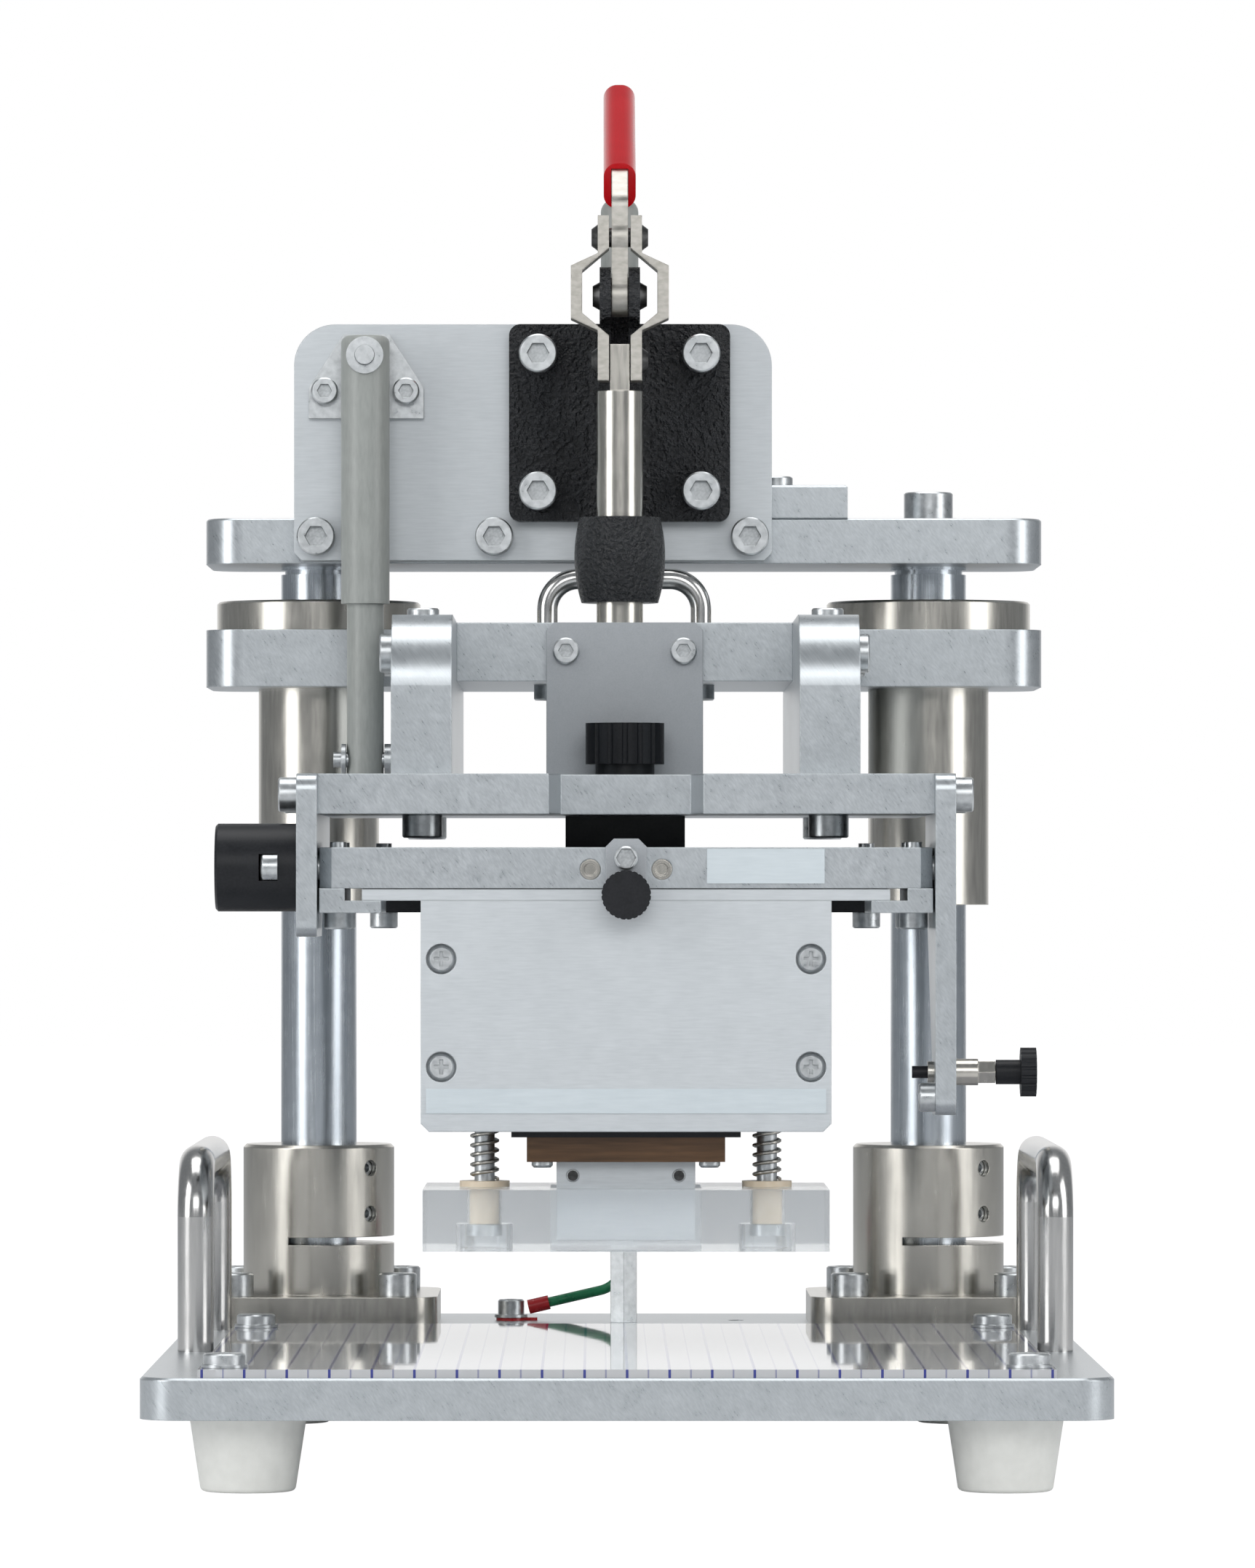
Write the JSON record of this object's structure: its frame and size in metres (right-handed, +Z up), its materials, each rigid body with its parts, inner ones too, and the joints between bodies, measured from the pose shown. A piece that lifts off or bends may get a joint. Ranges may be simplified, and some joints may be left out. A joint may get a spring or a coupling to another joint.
{
  "type": "fixture press unit",
  "caption": "Hand press for electronics test fixtures: toggle clamp, guided carriage, tilting fixture holder, sprung presser foot and lined stage on a footed base.",
  "frame": {"origin": "centre of the footprint at the level of the feet", "axes": "+Z up, -Y towards the operator at the front, +X to the right seen from the front"},
  "size_m": [0.23, 0.319, 0.3563],
  "materials": {
    "milled": "milled satin",
    "foot_rubber": "matt off-white",
    "clear": "clear sheet",
    "chrome": "polished",
    "nickel": "nickel plated",
    "anodised": "satin anodised",
    "cast": "black wrinkle paint",
    "black_steel": "blackened",
    "grey": "grey",
    "zinc": "zinc plated",
    "stay_grey": "grey",
    "green": "green sleeve",
    "red_plastic": "red sleeve",
    "black_plastic": "black",
    "red_grip": "dipped vinyl",
    "label": "pale film",
    "amber": "amber brown",
    "frosted": "frosted acrylic",
    "cream": "cream"
  },
  "bodies": {
    "frame": {"base_plate": "milled", "feet": "foot_rubber", "stage_sheet": "clear", "carry_handles": "chrome", "post_supports": "nickel", "guide_posts": "chrome", "top_plate": "milled", "clamp_plate": "anodised", "stiffener_block": "milled", "clamp_body": "cast", "clamp_pivot_pin": "black_steel", "handle_stop": "grey", "stay_bracket": "zinc", "stay_tube": "stay_grey", "stop_pillar": "zinc", "earth_lead": "green", "earth_lugs": "red_plastic", "frame_cap_screws": "zinc", "frame_small_screws": "zinc"},
    "carriage": {"carriage_plate": "milled", "guide_bushes": "nickel", "side_beams": "milled", "front_plate": "anodised", "plunger": "nickel", "stay_rod": "stay_grey", "stay_pin": "zinc", "holder_mount_plate": "milled", "pressure_block": "black_plastic", "side_plates": "milled", "tilt_pivots": "zinc", "tilt_damper": "black_plastic", "index_body": "nickel", "lift_handle": "chrome", "carriage_cap_screws": "zinc", "carriage_small_screws": "zinc"},
    "handle": {"toggle_lever": "nickel", "handle_grip": "red_grip"},
    "links": {"toggle_links": "nickel", "link_rivets": "black_steel"},
    "knob": {"lock_knob": "black_plastic"},
    "index": {"index_pin": "black_plastic"},
    "holder": {"holder_plate": "milled", "fixture_rails": "milled", "holder_screws": "zinc", "rear_stop_bar": "black_plastic", "ball_plungers": "nickel", "labels": "label", "fixture_flange": "milled", "fixture_case": "anodised", "fixture_screws": "nickel", "insulator": "black_plastic", "probe_carrier": "amber", "probe_block": "anodised", "guide_pins": "zinc"},
    "lever": {"lock_lever": "anodised", "lock_lever_knob": "black_plastic"},
    "foot": {"presser_foot": "frosted", "foot_bushes": "cream", "foot_springs": "nickel"}
  },
  "joints": [
    {"name": "press_slide", "type": "slide", "parent": "frame", "child": "carriage", "axis": [0, 0, -1], "range_m": [0, 0.0245]},
    {"name": "handle_swing", "type": "hinge", "parent": "frame", "child": "handle", "pos_m": [-0.0012, 0.0405, 0.296], "axis": [1, 0, 0], "range_deg": [0, 137.5]},
    {"name": "link_swing", "type": "hinge", "parent": "handle", "child": "links", "pos_m": [-0.0012, 0.0405, 0.3111], "axis": [1, 0, 0], "range_deg": [-118.7, 0]},
    {"name": "holder_tilt", "type": "hinge", "parent": "carriage", "child": "holder", "pos_m": [0, -0.0765, 0.1483], "axis": [-1, 0, 0], "range_deg": [0, 90]},
    {"name": "lock_turn", "type": "hinge", "parent": "holder", "child": "lever", "pos_m": [0, -0.0855, 0.1506], "axis": [0, -1, 0], "range_deg": [-90, 90]},
    {"name": "foot_spring", "type": "slide", "parent": "holder", "child": "foot", "axis": [0, 0, 1], "range_m": [0, 0.0035], "stiffness_N_per_m": 900, "springref_m": -0.003, "deforming": ["foot_springs"]},
    {"name": "index_pull", "type": "slide", "parent": "carriage", "child": "index", "axis": [1, 0, 0], "range_m": [0, 0.0045], "stiffness_N_per_m": 800, "springref_m": -0.004},
    {"name": "knob_turn", "type": "hinge", "parent": "carriage", "child": "knob", "pos_m": [0, 0.0055, 0.18], "axis": [0, 0, 1], "continuous": true}
  ],
  "couplings": [
    {"joint": "handle_swing", "follows": "press_slide", "rad_per_m": 97.952},
    {"joint": "link_swing", "follows": "press_slide", "rad_per_m": -84.559}
  ]
}
